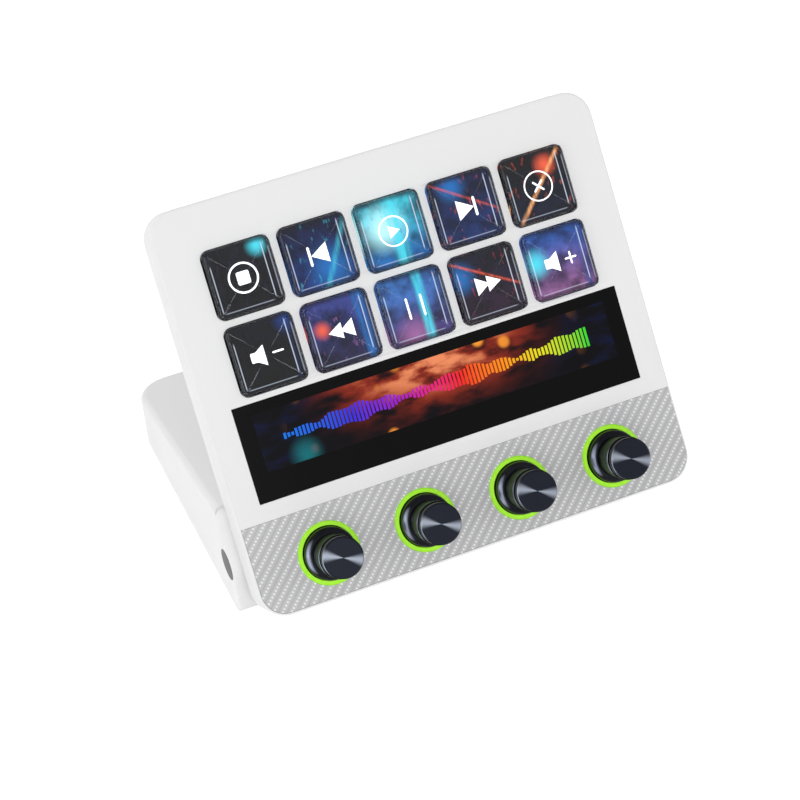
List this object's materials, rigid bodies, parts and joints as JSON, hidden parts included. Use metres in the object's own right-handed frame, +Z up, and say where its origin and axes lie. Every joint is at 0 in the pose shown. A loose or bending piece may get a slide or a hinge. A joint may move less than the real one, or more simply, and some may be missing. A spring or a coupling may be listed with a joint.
{
  "type": "macro keypad with knobs",
  "caption": "Desk macro keypad: a tilted head with clear picture keys, a display strip and lit push-and-turn knobs, hinged to a wedge-shaped weighted base.",
  "frame": {"origin": "middle of the footprint, on the surface that the rubber feet stand on", "axes": "+Z up, +X to the right as seen by the user, +Y to the back; the face leans back, 54 degrees above the table at rest"},
  "size_m": [0.1396, 0.1174, 0.1075],
  "materials": {
    "white_shell": "fine matt moulded white",
    "weave_trim": "silver twill-weave pattern under clear lacquer",
    "strip_black_glass": "black polished cover over the lit strip",
    "key_clear": "clear polished key cap",
    "ring_green": "translucent, lit lime green",
    "knob_black": "black anodised, spun cap face",
    "hinge_dark": "dark grey moulded",
    "rubber_grey": "matt rubber",
    "screw_steel": "zinc plated steel",
    "board_green": "solder-masked board",
    "chip_black": "moulded epoxy",
    "lamp_white": "clear lamp lens",
    "display_dark": "display glass",
    "flex_amber": "polyimide film"
  },
  "bodies": {
    "base": {"base_shell": "white_shell", "base_cover": "white_shell", "base_screws": "screw_steel", "ballast_plate": "screw_steel", "rubber_feet": "rubber_grey", "hinge_pin_left": "screw_steel", "hinge_pin_right": "screw_steel", "hinge_cap_left": "hinge_dark", "hinge_cap_right": "hinge_dark", "hinge_washers": "screw_steel"},
    "head": {"front_cover": "white_shell", "rear_cover": "white_shell", "head_screws": "screw_steel", "knob_panel": "weave_trim", "strip_glass": "strip_black_glass", "key_mat": "rubber_grey", "lcd_panel": "display_dark", "lcd_tray": "screw_steel", "lcd_flex": "flex_amber", "main_board": "board_green", "board_chips": "chip_black", "usb_socket": "screw_steel", "encoder_board": "board_green", "ring_leds": "lamp_white", "board_ribbon": "flex_amber", "light_ring_1": "ring_green", "light_ring_2": "ring_green", "light_ring_3": "ring_green", "light_ring_4": "ring_green", "encoder_1": "chip_black", "encoder_2": "chip_black", "encoder_3": "chip_black", "encoder_4": "chip_black"},
    "key_body_1": {"key_1": "key_clear"},
    "key_body_2": {"key_2": "key_clear"},
    "key_body_3": {"key_3": "key_clear"},
    "key_body_4": {"key_4": "key_clear"},
    "key_body_5": {"key_5": "key_clear"},
    "key_body_6": {"key_6": "key_clear"},
    "key_body_7": {"key_7": "key_clear"},
    "key_body_8": {"key_8": "key_clear"},
    "key_body_9": {"key_9": "key_clear"},
    "key_body_10": {"key_10": "key_clear"},
    "push_body_1": {"plunger_1": "chip_black"},
    "knob_body_1": {"shaft_1": "screw_steel", "knob_1": "knob_black"},
    "push_body_2": {"plunger_2": "chip_black"},
    "knob_body_2": {"shaft_2": "screw_steel", "knob_2": "knob_black"},
    "push_body_3": {"plunger_3": "chip_black"},
    "knob_body_3": {"shaft_3": "screw_steel", "knob_3": "knob_black"},
    "push_body_4": {"plunger_4": "chip_black"},
    "knob_body_4": {"shaft_4": "screw_steel", "knob_4": "knob_black"}
  },
  "joints": [
    {"name": "stand_tilt", "type": "hinge", "parent": "base", "child": "head", "pos_m": [0, -0.02677, 0.016], "axis": [1, 0, 0], "range_deg": [0, 16]},
    {"name": "key_press_1", "type": "slide", "parent": "head", "child": "key_body_1", "axis": [0, 0.809, -0.5878], "range_m": [0, 0.0008], "stiffness_N_per_m": 700},
    {"name": "key_press_2", "type": "slide", "parent": "head", "child": "key_body_2", "axis": [0, 0.809, -0.5878], "range_m": [0, 0.0008], "stiffness_N_per_m": 700},
    {"name": "key_press_3", "type": "slide", "parent": "head", "child": "key_body_3", "axis": [0, 0.809, -0.5878], "range_m": [0, 0.0008], "stiffness_N_per_m": 700},
    {"name": "key_press_4", "type": "slide", "parent": "head", "child": "key_body_4", "axis": [0, 0.809, -0.5878], "range_m": [0, 0.0008], "stiffness_N_per_m": 700},
    {"name": "key_press_5", "type": "slide", "parent": "head", "child": "key_body_5", "axis": [0, 0.809, -0.5878], "range_m": [0, 0.0008], "stiffness_N_per_m": 700},
    {"name": "key_press_6", "type": "slide", "parent": "head", "child": "key_body_6", "axis": [0, 0.809, -0.5878], "range_m": [0, 0.0008], "stiffness_N_per_m": 700},
    {"name": "key_press_7", "type": "slide", "parent": "head", "child": "key_body_7", "axis": [0, 0.809, -0.5878], "range_m": [0, 0.0008], "stiffness_N_per_m": 700},
    {"name": "key_press_8", "type": "slide", "parent": "head", "child": "key_body_8", "axis": [0, 0.809, -0.5878], "range_m": [0, 0.0008], "stiffness_N_per_m": 700},
    {"name": "key_press_9", "type": "slide", "parent": "head", "child": "key_body_9", "axis": [0, 0.809, -0.5878], "range_m": [0, 0.0008], "stiffness_N_per_m": 700},
    {"name": "key_press_10", "type": "slide", "parent": "head", "child": "key_body_10", "axis": [0, 0.809, -0.5878], "range_m": [0, 0.0008], "stiffness_N_per_m": 700},
    {"name": "knob_push_1", "type": "slide", "parent": "head", "child": "push_body_1", "axis": [0, 0.809, -0.5878], "range_m": [0, 0.0005], "stiffness_N_per_m": 4000},
    {"name": "knob_turn_1", "type": "hinge", "parent": "push_body_1", "child": "knob_body_1", "pos_m": [-0.0441, -0.04299, 0.02346], "axis": [0, -0.809, 0.5878], "continuous": true},
    {"name": "knob_push_2", "type": "slide", "parent": "head", "child": "push_body_2", "axis": [0, 0.809, -0.5878], "range_m": [0, 0.0005], "stiffness_N_per_m": 4000},
    {"name": "knob_turn_2", "type": "hinge", "parent": "push_body_2", "child": "knob_body_2", "pos_m": [-0.0147, -0.04299, 0.02346], "axis": [0, -0.809, 0.5878], "continuous": true},
    {"name": "knob_push_3", "type": "slide", "parent": "head", "child": "push_body_3", "axis": [0, 0.809, -0.5878], "range_m": [0, 0.0005], "stiffness_N_per_m": 4000},
    {"name": "knob_turn_3", "type": "hinge", "parent": "push_body_3", "child": "knob_body_3", "pos_m": [0.0147, -0.04299, 0.02346], "axis": [0, -0.809, 0.5878], "continuous": true},
    {"name": "knob_push_4", "type": "slide", "parent": "head", "child": "push_body_4", "axis": [0, 0.809, -0.5878], "range_m": [0, 0.0005], "stiffness_N_per_m": 4000},
    {"name": "knob_turn_4", "type": "hinge", "parent": "push_body_4", "child": "knob_body_4", "pos_m": [0.0441, -0.04299, 0.02346], "axis": [0, -0.809, 0.5878], "continuous": true}
  ]
}
